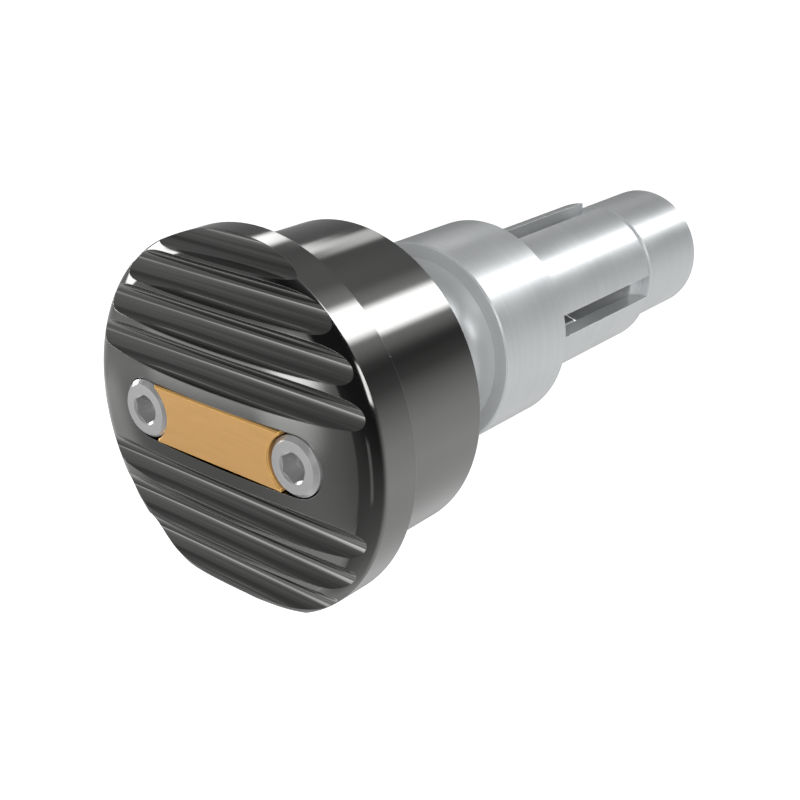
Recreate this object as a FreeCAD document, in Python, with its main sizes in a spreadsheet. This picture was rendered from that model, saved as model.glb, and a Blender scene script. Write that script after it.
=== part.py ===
import FreeCAD, Part
import math
import os
import re
import Sketcher
from FreeCAD import Rotation, Vector

# Weight for the open end of a motorcycle handlebar.
# The X axis is the axis of turning: the fluted face looks towards -X and the shank points to +X.
# The origin is the centre of the collar's rear face, which butts on the end of the handlebar.
# Lengths are in millimetres and angles in degrees.

SIZES = [
    ("rim_radius", "18.0", "outside of the fluted cap"),
    ("rim_thickness", "3.9", "straight edge of the cap"),
    ("dome_radius", "106.0", "shallow crown of the cap's face"),
    ("shoulder_radius", "3.3", "rounding between the crown and the edge"),
    ("shoulder_slope", "52.0", "angle at which the rounding meets the edge"),
    ("edge_break", "0.15", "small chamfer on turned edges"),
    ("flute_radius", "1.8", "rounded floor of a flute"),
    ("flute_depth", "1.6", "depth of a flute below the face"),
    ("flute_pitch", "3.85", "from one flute to the next"),
    ("first_flute", "6.05", "middle of the face to the nearest flute"),
    ("drill_slope", "30.0", "point of the drill at the bottom of a hexagon"),
    ("screw_spacing", "18.85", "between the two cap screws"),
    ("screw_radius", "1.5", "thread of a cap screw"),
    ("screw_length", "8.0", "cap screw below its head"),
    ("head_radius", "2.83", "head of a cap screw"),
    ("head_height", "3.0", "head of a cap screw"),
    ("head_bevel", "0.4", "bevel of a cap screw's or the clamp bolt's head"),
    ("head_inset", "0.12", "head top below the crown"),
    ("socket_width", "2.5", "cap screw's hexagon across its flats"),
    ("socket_depth", "1.9", "cap screw's hexagon"),
    ("mouth_slope", "27.0", "bevel at a hexagon's mouth"),
    ("badge_gap", "0.14", "round the screw heads in the badge recess"),
    ("plate_gap", "0.13", "along the sides of the badge plate"),
    ("plate_inset", "0.08", "plate's face below the crown"),
    ("plate_thickness", "1.5", "badge plate"),
    ("plate_tip", "0.3", "blunt corners of the badge plate"),
    ("plate_bevel", "0.14", "bevel round the plate's face"),
    ("body_radius", "15.65", "weight body behind the cap"),
    ("body_length", "12.1", "weight body"),
    ("body_web", "2.6", "wall that the clamp bolt pulls on"),
    ("spigot_radius", "7.0", "spigot that centres the cap"),
    ("spigot_height", "1.2", "spigot that centres the cap"),
    ("fit_gap", "0.05", "between turned parts that plug together"),
    ("thread_gap", "0.05", "between a thread and its hole"),
    ("bottom_gap", "0.3", "below the end of a plugged or screwed part"),
    ("neck_radius", "7.0", "waist between the weight body and the collar"),
    ("neck_length", "10.65", "waist between the weight body and the collar"),
    ("tenon_radius", "6.0", "end of the neck inside the weight body"),
    ("tenon_length", "2.2", "end of the neck inside the weight body"),
    ("cove_radius", "4.5", "hollow curve from the neck to the collar"),
    ("ring_width", "1.58", "flat ring on the collar's front"),
    ("collar_radius", "11.0", "collar, as wide as the handlebar"),
    ("collar_length", "10.6", "collar"),
    ("sleeve_radius", "8.4", "expansion sleeve inside the handlebar"),
    ("sleeve_length", "21.6", "expansion sleeve behind the collar"),
    ("sleeve_wall", "1.95", "expansion sleeve"),
    ("seat_length", "5.0", "closed ring of the sleeve inside the collar"),
    ("seat_step", "0.2", "sleeve is turned down by this inside the collar"),
    ("slot_width", "2.6", "slots that let the sleeve spread"),
    ("slot_root", "1.0", "slot ends this far inside the collar"),
    ("mouth_radius", "7.45", "countersunk mouth of the sleeve"),
    ("cone_slope", "28.0", "countersunk mouth and the nut's cone, from square"),
    ("nose_lead", "0.7", "cone nut's nose inside the sleeve"),
    ("nut_radius", "7.4", "cone nut"),
    ("nut_length", "11.0", "round part of the cone nut"),
    ("nut_gap", "2.05", "between the sleeve's end and the cone nut"),
    ("nut_bevel", "0.3", "bevelled rear edge of the cone nut"),
    ("bolt_radius", "3.0", "clamp bolt"),
    ("bolt_head_radius", "5.0", "clamp bolt's head"),
    ("bolt_head_height", "4.0", "clamp bolt's head"),
    ("bolt_socket_width", "5.0", "clamp bolt's hexagon across its flats"),
    ("bolt_socket_depth", "2.2", "clamp bolt's hexagon"),
    ("bolt_hole_gap", "0.3", "round the clamp bolt where it passes through"),
    ("bolt_recess", "2.0", "bolt's end inside the cone nut"),
    ("washer_radius", "5.9", "washer under the clamp bolt's head"),
    ("washer_thickness", "1.2", "washer under the clamp bolt's head"),
]
FLUTES_PER_SIDE = 4
SLOTS = 4
SOCKET_SIDES = 6
# How far round each cap screw stopped when it was tight.
SOCKET_TURNS = {"cap_screw_left": 27.5, "cap_screw_right": 29.0}

# Places along the axis, from the collar's rear face.
HEAD_REAR = "(0 - collar_length - neck_length)"
HEAD_FRONT = f"({HEAD_REAR} - body_length)"
RIM_FRONT = f"({HEAD_FRONT} - rim_thickness)"
NUT_FRONT = "(sleeve_length + nut_gap)"

# Outline of the cap's face, from the plane of its front edge: a crown, and a shoulder tangent to it.
EDGE_R = "(rim_radius - edge_break / 3)"
SHOULDER_X = "(shoulder_radius * cos(shoulder_slope))"
SHOULDER_R = f"({EDGE_R} - shoulder_radius * sin(shoulder_slope))"
BLEND_SINE = f"({SHOULDER_R} / (dome_radius - shoulder_radius))"
BLEND_COSINE = f"sqrt(1 - {BLEND_SINE} ^ 2)"
BLEND_X = f"({SHOULDER_X} - shoulder_radius * {BLEND_COSINE})"
BLEND_R = f"({SHOULDER_R} + shoulder_radius * {BLEND_SINE})"
DOME_X = f"({SHOULDER_X} + (dome_radius - shoulder_radius) * {BLEND_COSINE})"
APEX_X = f"({DOME_X} - dome_radius)"

# Sizes that two pieces share.
BADGE_RADIUS = "(head_radius + badge_gap)"
BOLT_HOLE = "(bolt_radius + bolt_hole_gap)"
BOLT_SEAT = "(body_length - tenon_length - bottom_gap - body_web)"
BORE_RADIUS = "(sleeve_radius - sleeve_wall)"
SEAT_RADIUS = "(sleeve_radius - seat_step)"


def formula(text):
    """Writes the names of sizes in a formula the way the document looks them up."""
    return re.sub(r"[a-z_]+", lambda word: "sizes." + word[0] if word[0] in aliases else word[0], text)


def measure(text):
    """Works out a formula in a spare cell of the sheet."""
    sheet.set("E1", "=" + text)
    sheet.recompute()
    return float(sheet.get("E1"))


def bind(item, prop, text):
    """Drives a property of an object by a formula."""
    item.setExpression(prop, formula(text))


def new_body(name, shift="0", across="0"):
    """Starts a sub-part and places it along X and Y."""
    body = doc.addObject("PartDesign::Body", name)
    body.Label = name
    bind(body, "Placement.Base.x", shift)
    bind(body, "Placement.Base.y", across)
    bodies.append(body)
    return body


def new_sketch(body, name, plane, offset=None):
    """Starts a sketch on one of the body's own planes, moved along its normal by a formula."""
    sketch = body.newObject("Sketcher::SketchObject", body.Label + "_" + name)
    support = next(item for item in body.Origin.OriginFeatures if item.Role == plane)
    sketch.AttachmentSupport = [(support, "")]
    sketch.MapMode = "FlatFace"
    if offset is not None:
        bind(sketch, "AttachmentOffset.Base.z", offset)
    return sketch


def locate(sketch, number, point, letters, texts):
    """Ties the x, the y or both of a point to formulas, or to an axis where the formula is 0."""
    for letter, text in zip(letters, texts):
        if text == "0":
            axis = -2 if letter == "x" else -1
            sketch.addConstraint(Sketcher.Constraint("PointOnObject", number, point, axis))
        else:
            kind = "Distance" + letter.upper()
            row = sketch.addConstraint(Sketcher.Constraint(kind, -1, 1, number, point, measure(text)))
            bind(sketch, f"Constraints[{row}]", text)


def arc_between(start, end, letter, value):
    """Shorter arc between two places, drawn anticlockwise, whose centre has the given x or y."""
    chord = end - start
    middle = (start + end) * 0.5
    if letter == "x":
        centre = Vector(value, middle.y - (value - middle.x) * chord.x / chord.y, 0)
    else:
        centre = Vector(middle.x - (value - middle.y) * chord.y / chord.x, value, 0)
    angles = [math.atan2(place.y - centre.y, place.x - centre.x) for place in (start, end)]
    forward = (angles[1] - angles[0]) % math.tau < math.pi
    if not forward:
        angles.reverse()
    whole = Part.Circle(centre, Vector(0, 0, 1), centre.distanceToPoint(start))
    return Part.ArcOfCircle(whole, *angles), forward


def outline(sketch, corners):
    """Draws a closed outline. A corner is two formulas, x and y. Where the side that arrives there
    is an arc, two more say which of the arc's centre's places is known, x or y, and its formula."""
    places = [Vector(measure(corner[0]), measure(corner[1]), 0) for corner in corners]
    total = len(corners)
    sides = []
    for index in range(total):
        after = (index + 1) % total
        edge = Part.LineSegment(places[index], places[after])
        forward = True
        if len(corners[after]) > 2:
            letter, text = corners[after][2:]
            edge, forward = arc_between(places[index], places[after], letter, measure(text))
        number = sketch.addGeometry(edge)
        sides.append((number, 1, 2) if forward else (number, 2, 1))
    for index, (number, start, end) in enumerate(sides):
        following = sides[(index + 1) % total]
        sketch.addConstraint(Sketcher.Constraint("Coincident", number, end, following[0], following[1]))
        locate(sketch, number, start, "xy", corners[index][:2])
        corner = corners[(index + 1) % total]
        if len(corner) > 2:
            locate(sketch, number, 3, corner[2], corner[3:])


def circle(sketch, x_text, y_text, radius_text):
    """Draws a circle in a sketch."""
    centre = Vector(measure(x_text), measure(y_text), 0)
    index = sketch.addGeometry(Part.Circle(centre, Vector(0, 0, 1), measure(radius_text)))
    locate(sketch, index, 3, "xy", (x_text, y_text))
    row = sketch.addConstraint(Sketcher.Constraint("Radius", index, measure(radius_text)))
    bind(sketch, f"Constraints[{row}]", radius_text)


def turned(body, name, corners):
    """Turns an outline of places along the axis and radii about the X axis."""
    sketch = new_sketch(body, name + "_profile", "XY_Plane")
    outline(sketch, corners)
    feature = body.newObject("PartDesign::Revolution", body.Label + "_" + name)
    feature.Profile = sketch
    feature.ReferenceAxis = (sketch, ["H_Axis"])
    feature.Angle = 360
    return feature


def grooved(body, name, corners):
    """Turns an outline away from the body about the X axis."""
    sketch = new_sketch(body, name + "_profile", "XY_Plane")
    outline(sketch, corners)
    feature = body.newObject("PartDesign::Groove", body.Label + "_" + name)
    feature.Profile = sketch
    feature.ReferenceAxis = (sketch, ["H_Axis"])
    feature.Angle = 360
    return feature


def cut_through(body, sketch, side_type):
    """Cuts a sketch's shape right through, from its plane against the normal, or both ways."""
    feature = body.newObject("PartDesign::Pocket", sketch.Label + "_cut")
    feature.Profile = sketch
    feature.Type = "ThroughAll"
    feature.SideType = side_type
    return feature


def hexagon(sketch, width):
    """Draws a hexagon by its width across the flats, with a flat above and below."""
    corners = []
    for step in range(SOCKET_SIDES):
        angle = 360 // SOCKET_SIDES * step
        reach = f"{width} / 2 / cos({180 // SOCKET_SIDES})"
        across = "0" if angle % 180 == 0 else f"({reach} * sin({angle}))"
        corners.append((f"({reach} * cos({angle}))", across))
    outline(sketch, corners)


def socket(body, width, depth):
    """Sinks a hexagon socket with a bevelled mouth and a drilled bottom into a screw's head."""
    sketch = new_sketch(body, "socket", "YZ_Plane", depth)
    hexagon(sketch, width)
    cut_through(body, sketch, "One side")
    flat = f"({width} / 2)"
    reach = f"({flat} / cos({180 // SOCKET_SIDES}) + edge_break / 2)"
    grooved(body, "socket_mouth", [("0", "0"), ("0", reach), (f"({reach} * tan(mouth_slope))", "0")])
    point = f"({depth} + {flat} * tan(drill_slope))"
    grooved(body, "socket_bottom", [(depth, "0"), (depth, flat), (point, "0")])


def face_depth(height):
    """Place of the cap's face at a height above the middle, on the crown or on the shoulder."""
    at = f"min({height}; {EDGE_R})"
    crown = f"{DOME_X} - sqrt(dome_radius ^ 2 - ({at}) ^ 2)"
    shoulder = f"{SHOULDER_X} - sqrt(shoulder_radius ^ 2 - ({at} - {SHOULDER_R}) ^ 2)"
    return f"({height} < {BLEND_R} ? {crown} : {shoulder})"


def make_fluted_cap():
    body = new_body("fluted_cap", RIM_FRONT)
    turned(body, "blank", [
        (APEX_X, "0"),
        (BLEND_X, BLEND_R, "y", "0"),
        ("0", EDGE_R, "x", SHOULDER_X),
        ("edge_break", "rim_radius"),
        ("(rim_thickness - edge_break)", "rim_radius"),
        ("rim_thickness", "(rim_radius - edge_break)"),
        ("rim_thickness", "spigot_radius"),
        ("(rim_thickness + spigot_height)", "spigot_radius"),
        ("(rim_thickness + spigot_height)", "0"),
    ])
    # Each flute is a straight cut with a round floor, as deep below the face at its own height.
    flutes = []
    for number in range(FLUTES_PER_SIDE):
        height = f"(first_flute + {number} * flute_pitch)"
        floor = f"({face_depth(height)} + flute_depth)"
        centre = f"({floor} - flute_radius)"
        mouth = f"({APEX_X} - flute_radius)"
        low = f"({height} - flute_radius)"
        high = f"({height} + flute_radius)"
        sketch = new_sketch(body, f"flute_{number + 1}", "XZ_Plane")
        outline(sketch, [
            (mouth, low),
            (centre, low),
            (floor, height, "x", centre),
            (centre, high, "x", centre),
            (mouth, high),
        ])
        flutes.append(cut_through(body, sketch, "Symmetric"))
    mirror = body.newObject("PartDesign::Mirrored", "fluted_cap_lower_flutes")
    mirror.Originals = flutes
    plane = next(item for item in body.Origin.OriginFeatures if item.Role == "XY_Plane")
    mirror.MirrorPlane = (plane, [""])
    body.Tip = mirror
    # The badge recess is a slot with round ends, and the screw heads sink deeper at those ends.
    end = "(screw_spacing / 2)"
    recess = new_sketch(body, "badge_recess", "YZ_Plane", f"({APEX_X} + plate_inset + plate_thickness)")
    outline(recess, [
        (f"(0 - {end})", f"(0 - {BADGE_RADIUS})", "x", f"(0 - {end})"),
        (end, f"(0 - {BADGE_RADIUS})"),
        (f"({end} + {BADGE_RADIUS})", "0", "x", end),
        (end, BADGE_RADIUS, "x", end),
        (f"(0 - {end})", BADGE_RADIUS),
        (f"(0 - {end} - {BADGE_RADIUS})", "0", "x", f"(0 - {end})"),
    ])
    cut_through(body, recess, "One side")
    seats = new_sketch(body, "screw_seats", "YZ_Plane", f"({APEX_X} + head_inset + head_height)")
    holes = new_sketch(body, "screw_holes", "YZ_Plane")
    for side in (f"(0 - {end})", end):
        circle(seats, side, "0", BADGE_RADIUS)
        circle(holes, side, "0", "(screw_radius + fit_gap)")
    cut_through(body, seats, "One side")
    cut_through(body, holes, "Symmetric")


def make_badge_plate():
    body = new_body("badge_plate", f"({RIM_FRONT} + {APEX_X} + plate_inset)")
    half_width = f"({BADGE_RADIUS} - plate_gap)"
    end = "(screw_spacing / 2)"
    corner = f"({half_width} - plate_tip)"
    tip = f"({end} - sqrt({BADGE_RADIUS} ^ 2 - {corner} ^ 2))"
    waist = f"({end} - {BADGE_RADIUS})"
    sketch = new_sketch(body, "outline", "YZ_Plane")
    outline(sketch, [
        (f"(0 - {tip})", f"(0 - {half_width})"),
        (tip, f"(0 - {half_width})"),
        (tip, f"(0 - {corner})"),
        (waist, "0", "x", end),
        (tip, corner, "x", end),
        (tip, half_width),
        (f"(0 - {tip})", half_width),
        (f"(0 - {tip})", corner),
        (f"(0 - {waist})", "0", "x", f"(0 - {end})"),
        (f"(0 - {tip})", f"(0 - {corner})", "x", f"(0 - {end})"),
    ])
    plate = body.newObject("PartDesign::Pad", "badge_plate_blank")
    plate.Profile = sketch
    bind(plate, "Length", "plate_thickness")
    doc.recompute()
    front = min(range(len(plate.Shape.Faces)), key=lambda index: plate.Shape.Faces[index].CenterOfMass.x)
    bevel = body.newObject("PartDesign::Chamfer", "badge_plate_bevel")
    bevel.Base = (plate, [f"Face{front + 1}"])
    bind(bevel, "Size", "plate_bevel")
    body.Tip = bevel


def make_cap_screw(name, side):
    body = new_body(name, f"({RIM_FRONT} + {APEX_X} + head_inset)", side)
    body.Placement.Rotation = Rotation(Vector(1, 0, 0), SOCKET_TURNS[name])
    turned(body, "blank", [
        ("0", "0"),
        ("0", "(head_radius - head_bevel)"),
        ("head_bevel", "head_radius"),
        ("head_height", "head_radius"),
        ("head_height", "screw_radius"),
        ("(head_height + screw_length - edge_break)", "screw_radius"),
        ("(head_height + screw_length)", "(screw_radius - edge_break)"),
        ("(head_height + screw_length)", "0"),
    ])
    socket(body, "socket_width", "socket_depth")


def make_weight_body():
    body = new_body("weight_body", HEAD_FRONT)
    recess_radius = "(spigot_radius + fit_gap)"
    recess_depth = "(spigot_height + bottom_gap)"
    well_radius = "(washer_radius + bolt_hole_gap)"
    tenon_hole = "(tenon_radius + fit_gap)"
    tenon_floor = "(body_length - tenon_length - bottom_gap)"
    turned(body, "blank", [
        ("0", recess_radius),
        ("0", "(body_radius - edge_break)"),
        ("edge_break", "body_radius"),
        ("(body_length - edge_break)", "body_radius"),
        ("body_length", "(body_radius - edge_break)"),
        ("body_length", tenon_hole),
        (tenon_floor, tenon_hole),
        (tenon_floor, BOLT_HOLE),
        (BOLT_SEAT, BOLT_HOLE),
        (BOLT_SEAT, well_radius),
        (recess_depth, well_radius),
        (recess_depth, recess_radius),
    ])
    reach = f"({APEX_X} + head_inset + head_height + screw_length - rim_thickness + bottom_gap)"
    holes = new_sketch(body, "screw_holes", "YZ_Plane", reach)
    for side in ("(0 - screw_spacing / 2)", "(screw_spacing / 2)"):
        circle(holes, side, "0", "(screw_radius + thread_gap)")
    cut_through(body, holes, "One side")


def make_bar_adapter():
    body = new_body("bar_adapter")
    collar_front = "(0 - collar_length)"
    ring_inside = "(collar_radius - ring_width)"
    cove_drop = f"(neck_radius + cove_radius - {ring_inside})"
    cove_front = f"({collar_front} - sqrt(cove_radius ^ 2 - {cove_drop} ^ 2))"
    tenon_front = f"({HEAD_REAR} - tenon_length)"
    seat_hole = f"({SEAT_RADIUS} + fit_gap)"
    turned(body, "blank", [
        (tenon_front, BOLT_HOLE),
        (tenon_front, "tenon_radius"),
        (HEAD_REAR, "tenon_radius"),
        (HEAD_REAR, "neck_radius"),
        (cove_front, "neck_radius"),
        (collar_front, ring_inside, "y", "(neck_radius + cove_radius)"),
        (collar_front, "(collar_radius - edge_break)"),
        (f"({collar_front} + edge_break)", "collar_radius"),
        ("(0 - edge_break)", "collar_radius"),
        ("0", "(collar_radius - edge_break)"),
        ("0", f"({seat_hole} + seat_step)"),
        ("(0 - seat_step)", seat_hole),
        ("(0 - seat_length)", seat_hole),
        ("(0 - seat_length)", BOLT_HOLE),
    ])


def make_expansion_sleeve():
    body = new_body("expansion_sleeve")
    turned(body, "blank", [
        ("(0 - seat_length)", BORE_RADIUS),
        ("(0 - seat_length)", f"({SEAT_RADIUS} - edge_break)"),
        ("(edge_break - seat_length)", SEAT_RADIUS),
        ("0", SEAT_RADIUS),
        ("0", "sleeve_radius"),
        ("(sleeve_length - edge_break)", "sleeve_radius"),
        ("sleeve_length", "(sleeve_radius - edge_break)"),
        ("sleeve_length", "mouth_radius"),
        (f"(sleeve_length - (mouth_radius - {BORE_RADIUS}) * tan(cone_slope))", BORE_RADIUS),
    ])
    # One slot through the wall on the -Y side, open at the mouth and round at its root.
    half = "(slot_width / 2)"
    root = "(0 - slot_root)"
    sketch = new_sketch(body, "slot", "XZ_Plane")
    outline(sketch, [
        (f"({root} + {half})", f"(0 - {half})", "x", f"({root} + {half})"),
        ("(sleeve_length + slot_width)", f"(0 - {half})"),
        ("(sleeve_length + slot_width)", half),
        (f"({root} + {half})", half),
        (root, "0", "x", f"({root} + {half})"),
    ])
    slot = cut_through(body, sketch, "One side")
    pattern = body.newObject("PartDesign::PolarPattern", "expansion_sleeve_slots")
    pattern.Originals = [slot]
    axis = next(item for item in body.Origin.OriginFeatures if item.Role == "X_Axis")
    pattern.Axis = (axis, [""])
    pattern.Angle = 360
    pattern.Occurrences = SLOTS
    body.Tip = pattern


def make_cone_nut():
    body = new_body("cone_nut", NUT_FRONT)
    thread = "(bolt_radius + thread_gap)"
    # The nose slides in the sleeve's bore, and the cone behind it matches the sleeve's mouth.
    nose_front = "(0 - nut_gap - nose_lead)"
    nose_radius = f"({BORE_RADIUS} - fit_gap)"
    cone_radius = "(nut_radius - edge_break)"
    turned(body, "blank", [
        (nose_front, thread),
        (nose_front, f"({nose_radius} - edge_break)"),
        (f"({nose_front} + edge_break)", nose_radius),
        (f"(0 - ({cone_radius} - {nose_radius}) * tan(cone_slope))", nose_radius),
        ("0", cone_radius),
        ("edge_break", "nut_radius"),
        ("(nut_length - nut_bevel)", "nut_radius"),
        ("nut_length", "(nut_radius - nut_bevel)"),
        ("nut_length", f"({thread} + nut_bevel)"),
        ("(nut_length - nut_bevel)", thread),
    ])


def make_clamp_bolt():
    head_front = f"({HEAD_FRONT} + {BOLT_SEAT} - washer_thickness - bolt_head_height)"
    body = new_body("clamp_bolt", head_front)
    length = f"({NUT_FRONT} + nut_length - bolt_recess - {head_front})"
    turned(body, "blank", [
        ("0", "0"),
        ("0", "(bolt_head_radius - head_bevel)"),
        ("head_bevel", "bolt_head_radius"),
        ("bolt_head_height", "bolt_head_radius"),
        ("bolt_head_height", "bolt_radius"),
        (f"({length} - head_bevel)", "bolt_radius"),
        (length, "(bolt_radius - head_bevel)"),
        (length, "0"),
    ])
    socket(body, "bolt_socket_width", "bolt_socket_depth")


def make_bolt_washer():
    body = new_body("bolt_washer", f"({HEAD_FRONT} + {BOLT_SEAT} - washer_thickness)")
    turned(body, "blank", [
        ("0", BOLT_HOLE),
        ("0", "(washer_radius - edge_break)"),
        ("edge_break", "washer_radius"),
        ("washer_thickness", "washer_radius"),
        ("washer_thickness", BOLT_HOLE),
    ])


def check(items):
    """Stops if any object failed or any sub-part has no sound solid."""
    failed = [item.Name for item in items if "Invalid" in item.State or "Error" in item.State]
    if failed:
        raise RuntimeError("failed objects: " + ", ".join(failed))
    for body in bodies:
        if body.Shape.isNull() or not body.Shape.isValid() or len(body.Shape.Solids) != 1:
            raise RuntimeError("unsound sub-part: " + body.Label)


doc = FreeCAD.newDocument("bar_end_weight")
sheet = doc.addObject("Spreadsheet::Sheet", "sizes")
aliases = [name for name, value, note in SIZES]
for row, (name, value, note) in enumerate(SIZES, start=1):
    sheet.set(f"A{row}", name)
    sheet.set(f"B{row}", value)
    sheet.set(f"C{row}", note)
    sheet.setAlias(f"B{row}", name)
doc.recompute()

bodies = []
make_fluted_cap()
make_badge_plate()
make_cap_screw("cap_screw_left", "(screw_spacing / 2)")
make_cap_screw("cap_screw_right", "(0 - screw_spacing / 2)")
make_weight_body()
make_bar_adapter()
make_expansion_sleeve()
make_cone_nut()
make_clamp_bolt()
make_bolt_washer()
sheet.clear("E1")
doc.recompute()
check(doc.Objects)

os.makedirs("parts", exist_ok=True)
for body in bodies:
    shape = body.Shape
    shape.exportStep(f"parts/{body.Label}.step")
    print(f"{body.Label}: {shape.Volume:.0f} mm3, x {shape.BoundBox.XMin:.2f} to {shape.BoundBox.XMax:.2f}")
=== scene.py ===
import math

import bpy
from mathutils import Matrix, Vector


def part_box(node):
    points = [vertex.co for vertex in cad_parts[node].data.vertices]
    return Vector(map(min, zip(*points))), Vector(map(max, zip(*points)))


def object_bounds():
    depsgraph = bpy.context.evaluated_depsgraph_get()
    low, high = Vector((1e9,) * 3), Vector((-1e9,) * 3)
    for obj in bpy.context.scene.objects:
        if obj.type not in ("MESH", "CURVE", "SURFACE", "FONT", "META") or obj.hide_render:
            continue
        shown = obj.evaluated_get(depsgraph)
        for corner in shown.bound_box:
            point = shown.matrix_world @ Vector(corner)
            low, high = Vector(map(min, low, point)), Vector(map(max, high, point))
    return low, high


# Dresses the bar end weight with materials, and adds its camera, light and floor. It adds no pieces.
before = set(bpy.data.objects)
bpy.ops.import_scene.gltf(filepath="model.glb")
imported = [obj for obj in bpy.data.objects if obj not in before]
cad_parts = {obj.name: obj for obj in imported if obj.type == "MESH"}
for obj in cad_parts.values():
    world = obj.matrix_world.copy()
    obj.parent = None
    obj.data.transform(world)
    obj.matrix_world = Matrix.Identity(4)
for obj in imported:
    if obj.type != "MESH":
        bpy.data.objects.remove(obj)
CAD_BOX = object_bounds()

# The camera, placed in rim radii from the middle of the cap's front edge.
RIM_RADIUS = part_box("fluted_cap")[1].z
RIM_FRONT = -0.03725
CAMERA_PLACE = Vector((-4.078, -4.448, 2.777))
CAMERA_AZIMUTH = math.radians(-50.376)
CAMERA_ELEVATION = math.radians(23.648)
CAMERA_ROLL = math.radians(0.13)
NEAREST_SEEN = 0.005
PHOTO_SIZE = 800
FOCAL_PIXELS = 1325.8
SENSOR = 36.0

# The floor and the plain light on what is dull, in metres and watts. FLOOR_WHITE is added only where
# the camera sees the floor, and EVEN_LIGHT comes from all round.
WHITE = (1.0, 1.0, 1.0, 1.0)
FLOOR_DROP = 0.05
FLOOR_SIZE = 6.0
FLOOR_PAINT = 0.8
FLOOR_WHITE = 0.88
EVEN_LIGHT = 0.15
KEY_PLACE = Vector((-0.75, -0.6, 0.42))
KEY_SIZE = 0.5
KEY_ENERGY = 12.0

# The studio that the metal shows. Its floor and walls are grey levels by elevation in degrees. The right
# wall is on the -Y side, the left wall on the +Y side, and the dark cards stand before the cap.
RIGHT_WALL = (
    (-90, 0.80), (-60, 0.96), (-44, 0.86), (-28, 0.96), (-12, 0.83), (-4, 0.66), (4, 0.44),
    (12, 0.18), (20, 0.10), (28, 0.20), (45, 0.34), (76, 0.45), (90, 0.45),
)
LEFT_WALL = (
    (-90, 0.70), (-68, 0.55), (-52, 0.78), (-44, 0.52), (-36, 0.34), (-26, 0.32), (-20, 0.62),
    (-15, 0.60), (-10, 0.38), (-4, 0.28), (6, 0.27), (20, 0.24), (36, 0.21), (55, 0.19), (90, 0.42),
)
DARK_CARDS = (
    (-90, 0.78), (-76, 0.54), (-60, 0.36), (-50, 0.28), (-36, 0.20), (-24, 0.13), (-12, 0.06),
    (0, 0.035), (40, 0.03), (60, 0.08), (90, 0.42),
)

# Where the dark cards are, and how near +Y and the cards a level direction is where each begins and
# is whole.
CARDS_PLACE = (-164, 0)
LEFT_BLEND = (0.15, 0.75)
CARDS_BLEND = (0.62, 0.83)

# The studio's lamps. A place is an azimuth from +X towards +Y and an elevation, in degrees.
# A strip is a long lamp along the object's axis: its place across the axis, core and edge angle and
# level, and then from which X to which X it comes up, or goes from one share to another.
STRIPS = (
    # The main lamp on the right, above the object, and the soft light round it.
    ((-90, 61), 2.0, 14.0, 6.0, (-0.36, -0.12)),
    ((-90, 61), 12.0, 28.0, 0.4, (-0.36, -0.12)),
    # Two short lamps beyond the object, which the rim and the body's top show.
    ((90, 43), 2.0, 9.0, 4.0, (0.56, 0.62), (0.665, 0.715, 1.0, 0.0)),
    ((90, 49), 1.0, 10.0, 1.5, (0.68, 0.71), (0.74, 0.80, 1.0, 0.35)),
)
# A panel is a flat soft box: its place, half width and height, soft edge, level and lean.
PANELS = (
    # The window on the left, which shows as white patches on the lands.
    ((100.0, 4.0), 20.0, 8.0, 3.0, 4.5, -16.0),
    # A narrow lamp beside the camera, which the shoulder shows as a streak.
    ((-126.0, 21.0), 3.0, 8.0, 3.0, 4.0),
    # Paler places of the left wall, of the floor under it, and between the dark cards.
    ((136.0, -18.0), 13.0, 1.5, 2.5, 0.6),
    ((92.0, -27.0), 17.0, 3.0, 4.0, 0.5),
    ((146.0, -42.0), 11.0, 6.0, 3.0, 0.35),
    ((-160.0, -22.0), 2.0, 9.0, 3.0, 0.3),
)
# A glow is round: its place, core and edge angle and level.
GLOWS = (
    # A small lamp low on the left, which shows as a bright wedge on one land, and the light round it.
    ((147.5, -15.5), 1.0, 5.0, 2.6),
    ((146.0, -21.0), 1.5, 6.0, 0.8),
)
LEAST_DEPTH = 0.01

# The cap's face as it is turned and milled, in millimetres. Depths are behind the plane of its front
# edge, and each flute's axis has its own.
MM = 1000.0
CROWN_RADIUS = 106.0
CROWN_CENTRE = 103.578
SHOULDER_RADIUS = 3.3
SHOULDER_DEPTH = 2.0317
SHOULDER_OUT = 15.3496
SHOULDER_START = 15.8428
RIM_START = 17.85
FLUTE_RADIUS = 1.8
FIRST_FLUTE = 6.05
FLUTE_PITCH = 3.85
FLUTE_DEPTHS = (-2.4491, -2.1585, -1.7263, -0.5819)
SCREW_PLACE = 9.425

# How near a point lies to a surface that it is on, how well its normal then agrees, and the most that
# a facet turns a normal sideways.
ON_SURFACE = 0.03
NEARLY_ALONG = 0.9
FACET_SLIP = 0.2

# The lanes that the cutter left along the flutes: how many in a millimetre, how little they change
# along the flute, how far they lean the normal, and how dark and light the painted stripes of
# reflection that follow them make the colour. Walls that face down get painted light, lighter by how
# steeply they face down.
LANES = 1.9
LANE_STRETCH = 0.012
LANE_LEAN = 0.3
LANE_SPREAD = (0.33, 0.67)
LANE_PAINTED_LEVELS = (0.8, 1.65)
PAINTED_UNDER_RISE = (-0.5, -0.15)
PAINTED_UNDER_LIGHT = 2.2

# How little the tool marks change along the flutes and the plate, the clouds in the roughness per
# metre, where an edge counts as worn and painted lighter, and how that goes in patches.
FLUTE_STRETCH = 0.02
PLATE_STRETCH = 0.1
CLOUDS = 180.0
CLOUD_SPREAD = (0.3, 0.7)
EDGE_SAMPLES = 6
EDGE_RANGE = (0.90, 0.995)
WEAR_AND_HIGHLIGHT_SPREAD = (0.3, 0.6)
LEAST_WEAR_AND_HIGHLIGHT = 0.4
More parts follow.
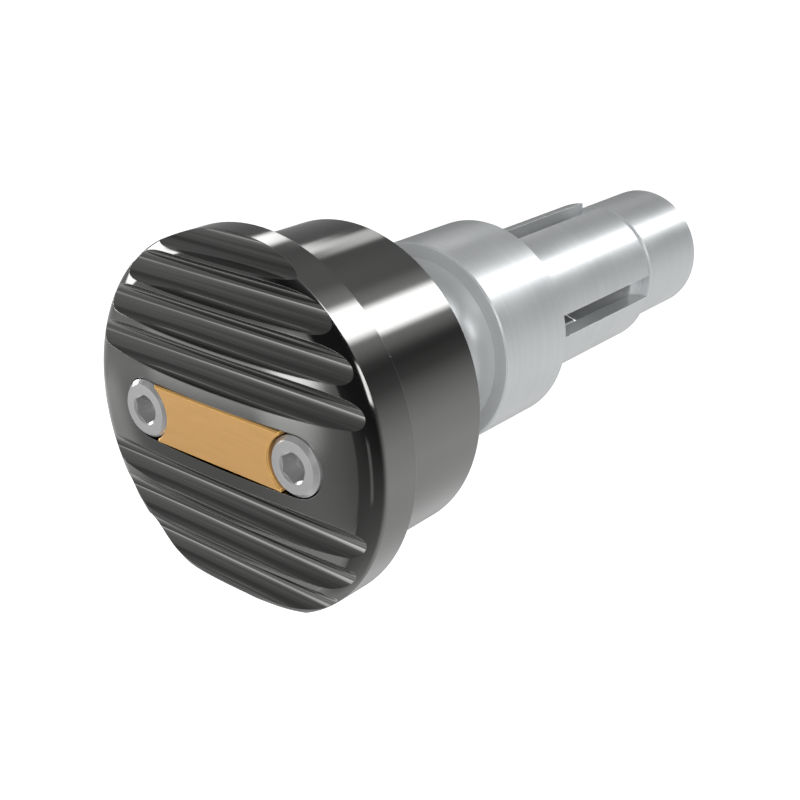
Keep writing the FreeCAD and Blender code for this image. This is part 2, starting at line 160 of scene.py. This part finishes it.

# The finishes. Grain is in marks per millimetre, edge_width in millimetres and depth in metres.
# Edges go lighter in patches towards the bare colour, as wear and as a painted highlight, and less
# metallic, so that the key lamp lights them.
# Roughness with its cloud stays on one side of 0.27, because the denoiser draws lines where it crosses.
DARK = {
    "color": (0.207, 0.207, 0.203), "roughness": 0.085, "cloud": 0.01, "metallic": 1.0,
    "grain": 3.0, "depth": 0.0000004, "streak": 0.06,
    "edge_width": 0.15, "edge_wear_and_light": 0.25, "bare_and_highlight_color": (0.7, 0.7, 0.7), "edge_metallic": 1.0,
}
# The body's edges are worn and painted lighter as a highlight more strongly, and made less metallic.
WORN_EDGE_LIT_DARK = {**DARK, "edge_width": 0.12, "edge_wear_and_light": 0.8, "edge_metallic": 0.6}
GOLD = {
    "color": (0.78, 0.445, 0.165), "roughness": 0.31, "cloud": 0.03, "metallic": 0.65,
    "grain": 2.5, "depth": 0.0000004, "streak": 0.14,
    "edge_width": 0.14, "edge_wear_and_light": 1.0, "bare_and_highlight_color": (1.0, 0.62, 0.14), "edge_metallic": 0.1,
}
SCREW = {
    "color": (0.55, 0.55, 0.55), "roughness": 0.24, "cloud": 0.03, "metallic": 0.7,
    "grain": 3.0, "depth": 0.0000006, "streak": 0.08,
    "edge_width": 0.12, "edge_wear_and_light": 0.3, "bare_and_highlight_color": (0.85, 0.85, 0.84), "edge_metallic": 0.7,
}
SATIN = {
    "color": (0.57, 0.59, 0.60), "roughness": 0.31, "cloud": 0.03, "metallic": 0.5,
    "grain": 2.2, "depth": 0.0000035, "streak": 0.12,
    "edge_width": 0.08, "edge_wear_and_light": 0.9, "bare_and_highlight_color": (0.98, 0.98, 0.98), "edge_metallic": 0.2,
}
BOLT = {
    "color": (0.46, 0.46, 0.455), "roughness": 0.32, "cloud": 0.04, "metallic": 0.9,
    "grain": 3.0, "depth": 0.000001, "streak": 0.1,
    "edge_width": 0.12, "edge_wear_and_light": 0.4, "bare_and_highlight_color": (0.7, 0.7, 0.7), "edge_metallic": 0.8,
}


def add(tree, kind, settings=None, **inputs):
    """Adds a node. Its settings are set first, and then its inputs, each to a value or a link. An input
    is named by its name with _ for a space, or by _ and its number."""
    made = tree.nodes.new(kind)
    for name, value in (settings or {}).items():
        setattr(made, name, value)
    for name, value in inputs.items():
        key = int(name[1:]) if name[0] == "_" else name.replace("_", " ")
        socket = made.inputs[key]
        if isinstance(value, bpy.types.NodeSocket):
            tree.links.new(value, socket)
        else:
            socket.default_value = value
    return made


def maths(tree, operation, *values):
    """A Math node's result."""
    inputs = {f"_{index}": value for index, value in enumerate(values)}
    return add(tree, "ShaderNodeMath", {"operation": operation}, **inputs).outputs[0]


def product(tree, first, *others):
    """All the numbers multiplied."""
    for other in others:
        first = maths(tree, "MULTIPLY", first, other)
    return first


def vectors(tree, operation, first, second=None):
    """A Vector Math node's result: a number for a dot product or a length, and otherwise a vector."""
    inputs = {"_0": first}
    if second is not None:
        inputs["Scale" if operation == "SCALE" else "_1"] = second
    made = add(tree, "ShaderNodeVectorMath", {"operation": operation}, **inputs)
    return made.outputs["Value" if operation in ("DOT_PRODUCT", "LENGTH") else "Vector"]


def joined(tree, x, y, z):
    """A vector from its three parts."""
    return add(tree, "ShaderNodeCombineXYZ", X=x, Y=y, Z=z).outputs[0]


def parted(tree, vector):
    """The three parts of a vector."""
    made = add(tree, "ShaderNodeSeparateXYZ", _0=vector)
    return made.outputs["X"], made.outputs["Y"], made.outputs["Z"]


def choose(tree, test, otherwise, chosen):
    """The second vector where the test is 1, the first where it is 0, and a mix between."""
    made = add(tree, "ShaderNodeMix", {"data_type": "VECTOR"}, _0=test, _4=otherwise, _5=chosen)
    return made.outputs[1]


def tinted(tree, share, one, other):
    """A mix of two colours."""
    made = add(tree, "ShaderNodeMix", {"data_type": "RGBA"}, _0=share, _6=one, _7=other)
    return made.outputs[2]


def smooth(tree, value, low, high, start=0.0, end=1.0):
    """Goes smoothly from start to end as the value goes from low to high."""
    made = add(
        tree, "ShaderNodeMapRange", {"interpolation_type": "SMOOTHSTEP"},
        Value=value, From_Min=low, From_Max=high, To_Min=start, To_Max=end,
    )
    return made.outputs["Result"]


def noise(tree, place, scale, detail, roughness=0.5):
    """A Noise Texture's grey level."""
    made = add(
        tree, "ShaderNodeTexNoise",
        Vector=place, Scale=scale, Detail=detail, Roughness=roughness,
    )
    return made.outputs[0]


def by_height(tree, rise, stops):
    """A grey level that follows stops of elevation and level. The rise is 0 straight down and 1 up."""
    made = add(tree, "ShaderNodeValToRGB", Fac=rise)
    elements = made.color_ramp.elements
    while len(elements) < len(stops):
        elements.new(1.0)
    for element, (elevation, level) in zip(elements, stops):
        element.position = (math.sin(math.radians(elevation)) + 1.0) / 2.0
        element.color = (level, level, level, 1.0)
    return made.outputs["Color"]


def towards(azimuth, elevation):
    """The direction of a place in the studio."""
    a, e = math.radians(azimuth), math.radians(elevation)
    return Vector((math.cos(a) * math.cos(e), math.sin(a) * math.cos(e), math.sin(e)))


def glow(tree, direction, place, core, edge, level):
    """Light from round one place: full inside the core angle, none outside the edge angle."""
    near = vectors(tree, "DOT_PRODUCT", direction, towards(*place))
    low, high = math.cos(math.radians(edge)), math.cos(math.radians(core))
    return smooth(tree, near, low, high, 0.0, level)


def panel(tree, direction, place, wide, tall, soft, level, lean=0.0):
    """Light from a flat soft box. Its long side leans by turning the box about its middle."""
    ahead = towards(*place)
    beside = towards(place[0] + 90.0, 0.0)
    turn = Matrix.Rotation(math.radians(lean), 3, ahead)
    depth = maths(tree, "MAXIMUM", vectors(tree, "DOT_PRODUCT", direction, ahead), LEAST_DEPTH)
    shares = []
    for side, half in ((turn @ beside, wide), (turn @ ahead.cross(beside), tall)):
        offset = maths(tree, "DIVIDE", vectors(tree, "DOT_PRODUCT", direction, side), depth)
        inner, outer = math.tan(math.radians(half)), math.tan(math.radians(half + soft))
        shares.append(smooth(tree, maths(tree, "ABSOLUTE", offset), inner, outer, 1.0, 0.0))
    return product(tree, *shares, level)


def strip(tree, across, x, place, core, edge, level, *ends):
    """Light from a long strip that runs along X, and how it fades at its ends."""
    shares = [smooth(tree, x, *end) for end in ends]
    return product(tree, glow(tree, across, place, core, edge, level), *shares)


def walls(tree, x, y, z):
    """The studio's pale floor and walls, and its dark cards."""
    rise = maths(tree, "MULTIPLY_ADD", z, 0.5, 0.5)
    level = vectors(tree, "NORMALIZE", joined(tree, x, y, 0.0))
    to_left = smooth(tree, parted(tree, level)[1], *LEFT_BLEND)
    to_cards = smooth(tree, vectors(tree, "DOT_PRODUCT", level, towards(*CARDS_PLACE)), *CARDS_BLEND)
    sides = tinted(tree, to_left, by_height(tree, rise, RIGHT_WALL), by_height(tree, rise, LEFT_WALL))
    return tinted(tree, to_cards, sides, by_height(tree, rise, DARK_CARDS))


def studio(tree, direction):
    """What the metal shows: the pale floor and walls, the dark cards and the lamps."""
    x, y, z = parted(tree, direction)
    across = vectors(tree, "NORMALIZE", joined(tree, 0.0, y, z))
    lamps = [strip(tree, across, x, *each) for each in STRIPS]
    lamps += [panel(tree, direction, *each) for each in PANELS]
    lamps += [glow(tree, direction, *each) for each in GLOWS]
    light = walls(tree, x, y, z)
    for lamp in lamps:
        light = maths(tree, "ADD", light, lamp)
    return light


def make_world():
    """A white background to the camera and through glass. Metal shows the studio, and what is dull gets
    plain even light."""
    world = bpy.data.worlds.new("studio")
    bpy.context.scene.world = world
    world.use_nodes = True
    tree = world.node_tree
    tree.nodes.clear()
    direction = add(tree, "ShaderNodeTexCoord").outputs["Generated"]
    ray = add(tree, "ShaderNodeLightPath").outputs
    seen = add(tree, "ShaderNodeBackground", Color=WHITE, Strength=1.0).outputs[0]
    even = add(tree, "ShaderNodeBackground", Color=WHITE, Strength=EVEN_LIGHT).outputs[0]
    shown = add(tree, "ShaderNodeBackground", Color=studio(tree, direction)).outputs[0]
    plain = maths(tree, "MAXIMUM", ray["Is Camera Ray"], ray["Is Transmission Ray"])
    mixed = add(tree, "ShaderNodeMixShader", _0=plain, _1=even, _2=seen).outputs[0]
    chosen = add(tree, "ShaderNodeMixShader", _0=ray["Is Glossy Ray"], _1=mixed, _2=shown)
    add(tree, "ShaderNodeOutputWorld", Surface=chosen.outputs[0])


def make_key():
    """A broad soft lamp over the camera. It lights what is dull, and metal doesn't show it."""
    data = bpy.data.lights.new("key", "AREA")
    data.shape = "DISK"
    data.size = KEY_SIZE
    data.energy = KEY_ENERGY
    lamp = bpy.data.objects.new("key", data)
    turn = KEY_PLACE.to_track_quat("Z", "Y").to_matrix().to_4x4()
    lamp.matrix_world = Matrix.Translation(KEY_PLACE) @ turn
    lamp.visible_camera = False
    lamp.visible_glossy = False
    bpy.context.scene.collection.objects.link(lamp)


def new_material(name):
    """An empty node material and its node tree."""
    material = bpy.data.materials.new(name)
    material.use_nodes = True
    material.node_tree.nodes.clear()
    return material, material.node_tree


def floor_paint():
    """Pale paint. Where the camera sees it, white is added to the paint and its shadow."""
    material, tree = new_material("floor")
    ray = add(tree, "ShaderNodeLightPath").outputs
    seen = maths(tree, "MAXIMUM", ray["Is Camera Ray"], ray["Is Transmission Ray"])
    paint = add(tree, "ShaderNodeBsdfDiffuse", Color=(FLOOR_PAINT, FLOOR_PAINT, FLOOR_PAINT, 1.0))
    white = add(tree, "ShaderNodeEmission", Strength=maths(tree, "MULTIPLY", seen, FLOOR_WHITE))
    both = add(tree, "ShaderNodeAddShader", _0=paint.outputs[0], _1=white.outputs[0])
    add(tree, "ShaderNodeOutputMaterial", Surface=both.outputs[0])
    return material


def make_floor():
    """A plain pale floor under the object. Metal shows the studio's own floor in the world instead."""
    size = FLOOR_SIZE / 2
    level = CAD_BOX[0][2] - FLOOR_DROP
    mesh = bpy.data.meshes.new("floor")
    corners = [(-size, -size, level), (size, -size, level), (size, size, level), (-size, size, level)]
    mesh.from_pydata(corners, [], [(0, 1, 2, 3)])
    mesh.materials.append(floor_paint())
    floor = bpy.data.objects.new("floor", mesh)
    floor.visible_glossy = False
    bpy.context.scene.collection.objects.link(floor)


def make_camera():
    """The camera stands where the photograph's camera stood."""
    data = bpy.data.cameras.new("camera")
    data.sensor_width = SENSOR
    data.lens = SENSOR * FOCAL_PIXELS / PHOTO_SIZE
    data.clip_start = NEAREST_SEEN
    camera = bpy.data.objects.new("camera", data)
    turn = Matrix.Rotation(CAMERA_AZIMUTH, 4, "Z")
    tilt = Matrix.Rotation(math.pi / 2 - CAMERA_ELEVATION, 4, "X")
    roll = Matrix.Rotation(CAMERA_ROLL, 4, "Z")
    place = CAMERA_PLACE * RIM_RADIUS + Vector((RIM_FRONT, 0.0, 0.0))
    camera.matrix_world = Matrix.Translation(place) @ turn @ tilt @ roll
    bpy.context.scene.collection.objects.link(camera)
    bpy.context.scene.camera = camera


def along(tree, one, other):
    """1 where two unit vectors nearly agree."""
    return maths(tree, "GREATER_THAN", vectors(tree, "DOT_PRODUCT", one, other), NEARLY_ALONG)


def lies_on(tree, from_centre, radius):
    """1 where a vector from a centre ends on the surface of that radius."""
    return maths(tree, "COMPARE", vectors(tree, "LENGTH", from_centre), radius, ON_SURFACE)


def turned_normal(tree, normal, y, z):
    """The normal of a surface turned about the X axis: what the facets add sideways is taken out."""
    around = vectors(tree, "NORMALIZE", joined(tree, 0.0, maths(tree, "MULTIPLY", z, -1.0), y))
    slip = vectors(tree, "DOT_PRODUCT", normal, around)
    small = maths(tree, "LESS_THAN", maths(tree, "ABSOLUTE", slip), FACET_SLIP)
    added = vectors(tree, "SCALE", around, maths(tree, "MULTIPLY", slip, small))
    return vectors(tree, "NORMALIZE", vectors(tree, "SUBTRACT", normal, added))


def crown_normal(tree, normal, behind, out, y, z):
    """The crown's exact normal, and 1 where the crown is."""
    from_centre = joined(tree, maths(tree, "SUBTRACT", behind, CROWN_CENTRE), y, z)
    crown = vectors(tree, "NORMALIZE", from_centre)
    inside = maths(tree, "LESS_THAN", out, SHOULDER_START)
    near = lies_on(tree, from_centre, CROWN_RADIUS)
    return crown, product(tree, near, along(tree, normal, crown), inside)


def shoulder_normal(tree, normal, behind, out, y, z):
    """The rounded shoulder's exact normal, and 1 where the shoulder is."""
    share = maths(tree, "DIVIDE", maths(tree, "SUBTRACT", out, SHOULDER_OUT), out)
    from_ring = joined(
        tree, maths(tree, "SUBTRACT", behind, SHOULDER_DEPTH),
        maths(tree, "MULTIPLY", y, share), maths(tree, "MULTIPLY", z, share),
    )
    shoulder = vectors(tree, "NORMALIZE", from_ring)
    outside = maths(tree, "GREATER_THAN", out, SHOULDER_START)
    near = lies_on(tree, from_ring, SHOULDER_RADIUS)
    return shoulder, product(tree, near, along(tree, normal, shoulder), outside)


def flute_offset(tree, behind, z):
    """How far a point lies behind the axis of the nearest flute, and how far above it."""
    height = maths(tree, "ABSOLUTE", z)
    pitches = maths(tree, "DIVIDE", maths(tree, "SUBTRACT", height, FIRST_FLUTE), FLUTE_PITCH)
    number = maths(tree, "MAXIMUM", maths(tree, "ROUND", pitches), 0.0)
    number = maths(tree, "MINIMUM", number, len(FLUTE_DEPTHS) - 1.0)
    middle = maths(tree, "MULTIPLY_ADD", number, FLUTE_PITCH, FIRST_FLUTE)
    axis = FLUTE_DEPTHS[0]
    for index in range(1, len(FLUTE_DEPTHS)):
        step = FLUTE_DEPTHS[index] - FLUTE_DEPTHS[index - 1]
        reached = maths(tree, "GREATER_THAN", number, index - 0.5)
        axis = maths(tree, "MULTIPLY_ADD", reached, step, axis)
    deep = maths(tree, "MAXIMUM", maths(tree, "SUBTRACT", behind, axis), 0.0)
    aside = maths(tree, "SUBTRACT", height, middle)
    return deep, maths(tree, "MULTIPLY", aside, maths(tree, "SIGN", z))


def flute_normal(tree, normal, behind, y, z):
    """A flute's exact normal with the cutter's lanes in it, 1 where a flute is, and the level of the
    light and shade painted into its colour: stripes along the lanes, and more light on walls that face
    down.
    """
    deep, aside = flute_offset(tree, behind, z)
    back, down = maths(tree, "MULTIPLY", deep, -1.0), maths(tree, "MULTIPLY", aside, -1.0)
    to_axis = joined(tree, back, 0.0, down)
    near = lies_on(tree, to_axis, FLUTE_RADIUS)
    on_flute = product(tree, near, along(tree, normal, vectors(tree, "NORMALIZE", to_axis)))

    stretched = joined(tree, 0.0, maths(tree, "MULTIPLY", y, LANE_STRETCH), aside)
    waves = noise(tree, stretched, LANES, detail=2.0)
    lean = maths(tree, "MULTIPLY_ADD", waves, 2.0 * LANE_LEAN, -LANE_LEAN)
    leaned = vectors(tree, "ADD", to_axis, joined(tree, 0.0, 0.0, lean))
    flute = vectors(tree, "NORMALIZE", leaned)

    # Painted light: walls that face down are painted lighter, and the lanes are painted in light and
    # dark stripes.
    painted_under_light = smooth(tree, parted(tree, flute)[2], *PAINTED_UNDER_RISE, PAINTED_UNDER_LIGHT, 1.0)
    level = product(tree, painted_under_light, smooth(tree, waves, *LANE_SPREAD, *LANE_PAINTED_LEVELS))
    return flute, on_flute, level


def cap_normal(tree, normal, x, y, z):
    """The exact normal of the cap's crown, shoulder, rim and flutes, which the facets only come near.
    With it go 1 on the flutes, and the light and shade painted into the cap's colour, lane by lane."""
    behind = maths(tree, "SUBTRACT", x, RIM_FRONT * MM)
    out = vectors(tree, "LENGTH", joined(tree, 0.0, y, z))
    on_rim = maths(tree, "GREATER_THAN", out, RIM_START)
    crown, on_crown = crown_normal(tree, normal, behind, out, y, z)
    shoulder, on_shoulder = shoulder_normal(tree, normal, behind, out, y, z)
    flute, on_flute, level = flute_normal(tree, normal, behind, y, z)

    found = choose(tree, on_rim, normal, turned_normal(tree, normal, y, z))
    found = choose(tree, on_crown, found, crown)
    found = choose(tree, on_shoulder, found, shoulder)
    found = choose(tree, on_flute, found, flute)
    # Painted light and shade, only on the flutes.
    painted_light = choose(tree, on_flute, (1.0, 1.0, 1.0), joined(tree, level, level, level))
    return found, on_flute, painted_light


def as_shaped(tree, texture, shape):
    """What the shape decides: the normal, the place in the tool marks, and the light and shade painted
    into the metal's colour.
    """
    x, y, z = parted(tree, vectors(tree, "SCALE", texture["Object"], MM))
    normal = texture["Normal"]
    if shape == "plate":
        return normal, joined(tree, x, maths(tree, "MULTIPLY", y, PLATE_STRETCH), z), None
    if shape == "cap":
        normal, on_flute, painted_light = cap_normal(tree, normal, x, y, z)
        turned = joined(tree, x, vectors(tree, "LENGTH", joined(tree, 0.0, y, z)), 0.0)
        milled = joined(tree, x, maths(tree, "MULTIPLY", y, FLUTE_STRETCH), z)
        return normal, choose(tree, on_flute, turned, milled), painted_light
    y = maths(tree, "SUBTRACT", y, shape)
    turned = joined(tree, x, vectors(tree, "LENGTH", joined(tree, 0.0, y, z)), 0.0)
    return turned_normal(tree, normal, y, z), turned, None


def with_edges(tree, normal, width):
    """The normal in world space, rounded at the edges, and 1 on an edge that falls to 0 beside it."""
    spaces = {"vector_type": "NORMAL", "convert_from": "OBJECT", "convert_to": "WORLD"}
    normal = add(tree, "ShaderNodeVectorTransform", spaces, _0=normal).outputs[0]
    rounded = add(tree, "ShaderNodeBevel", {"samples": EDGE_SAMPLES}, Radius=width / MM).outputs[0]
    plain = add(tree, "ShaderNodeNewGeometry").outputs["Normal"]
    edge = smooth(tree, vectors(tree, "DOT_PRODUCT", rounded, plain), *EDGE_RANGE, 1.0, 0.0)
    return vectors(tree, "NORMALIZE", choose(tree, edge, normal, rounded)), edge


def worn_and_painted_light_color(tree, finish, marks, clouds, edge, painted_light):
    """The colour, with dim streaks in the tool marks, light and shade painted in where the shape gives
    them, and edges lighter in patches, as wear and as a painted highlight."""
    dim = tuple(part * (1.0 - finish["streak"]) for part in finish["color"])
    color = tinted(tree, marks, (*dim, 1.0), (*finish["color"], 1.0))
    # Painted light and shade: the cap's flutes are painted lighter and darker lane by lane, and lighter
    # on walls that face down.
    if painted_light is not None:
        color = vectors(tree, "MULTIPLY", color, painted_light)
    # Wear and a painted highlight: edges go lighter in patches, towards the bare colour.
    patchy = smooth(tree, clouds, *WEAR_AND_HIGHLIGHT_SPREAD, LEAST_WEAR_AND_HIGHLIGHT * finish["edge_wear_and_light"], finish["edge_wear_and_light"])
    return tinted(tree, maths(tree, "MULTIPLY", edge, patchy), color, (*finish["bare_and_highlight_color"], 1.0))


def metal(name, finish, shape):
    """A turned, milled or brushed metal. Its roughness varies in soft clouds, fine tool marks run as the
    piece was cut, and its edges are rounded and lighter in patches, as wear and as a painted highlight
    along the edges. On the cap, light and shade are painted into the colour. The shape says whose exact
    normals and tool marks it has: the cap's, the plate's, or a turned piece's about an axis at that Y in
    millimetres."""
    material, tree = new_material(name)
    texture = add(tree, "ShaderNodeTexCoord").outputs
    normal, cut, painted_light = as_shaped(tree, texture, shape)
    normal, edge = with_edges(tree, normal, finish["edge_width"])

    clouds = noise(tree, texture["Object"], CLOUDS, detail=3.0, roughness=0.55)
    low, high = finish["roughness"] - finish["cloud"], finish["roughness"] + finish["cloud"]
    rough = smooth(tree, clouds, *CLOUD_SPREAD, low, high)
    marks = noise(tree, cut, finish["grain"], detail=1.0)
    bump = add(
        tree, "ShaderNodeBump",
        Strength=1.0, Distance=finish["depth"], Height=marks, Normal=normal,
    ).outputs[0]
    # At the edges the metal is less metallic, so that the key lamp lights the lighter edge colour as a
    # painted highlight.
    metallic = finish["metallic"]
    if finish["edge_metallic"] != metallic:
        metallic = smooth(tree, edge, 0.0, 1.0, metallic, finish["edge_metallic"])
    color = worn_and_painted_light_color(tree, finish, marks, clouds, edge, painted_light)
    shader = add(
        tree, "ShaderNodeBsdfPrincipled",
        Base_Color=color, Roughness=rough, Metallic=metallic, Normal=bump,
    )
    add(tree, "ShaderNodeOutputMaterial", Surface=shader.outputs[0])
    return material


FINISHES = {
    "fluted_cap": metal("dark_anodised_cap", DARK, "cap"),
    "weight_body": metal("dark_anodised_body", WORN_EDGE_LIT_DARK, 0.0),
    "badge_plate": metal("gold_anodised", GOLD, "plate"),
    "cap_screw_left": metal("screw_steel_left", SCREW, SCREW_PLACE),
    "cap_screw_right": metal("screw_steel_right", SCREW, -SCREW_PLACE),
    "bar_adapter": metal("satin_steel", SATIN, 0.0),
    "expansion_sleeve": metal("satin_steel_sleeve", SATIN, 0.0),
    "cone_nut": metal("satin_steel_nut", SATIN, 0.0),
    "clamp_bolt": metal("bolt_steel", BOLT, 0.0),
    "bolt_washer": metal("bolt_steel_washer", BOLT, 0.0),
}

make_camera()
make_world()
make_key()
make_floor()
for name, material in FINISHES.items():
    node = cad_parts[name]
    node.data.materials.clear()
    node.data.materials.append(material)

bpy.context.scene.view_settings.view_transform = "Standard"
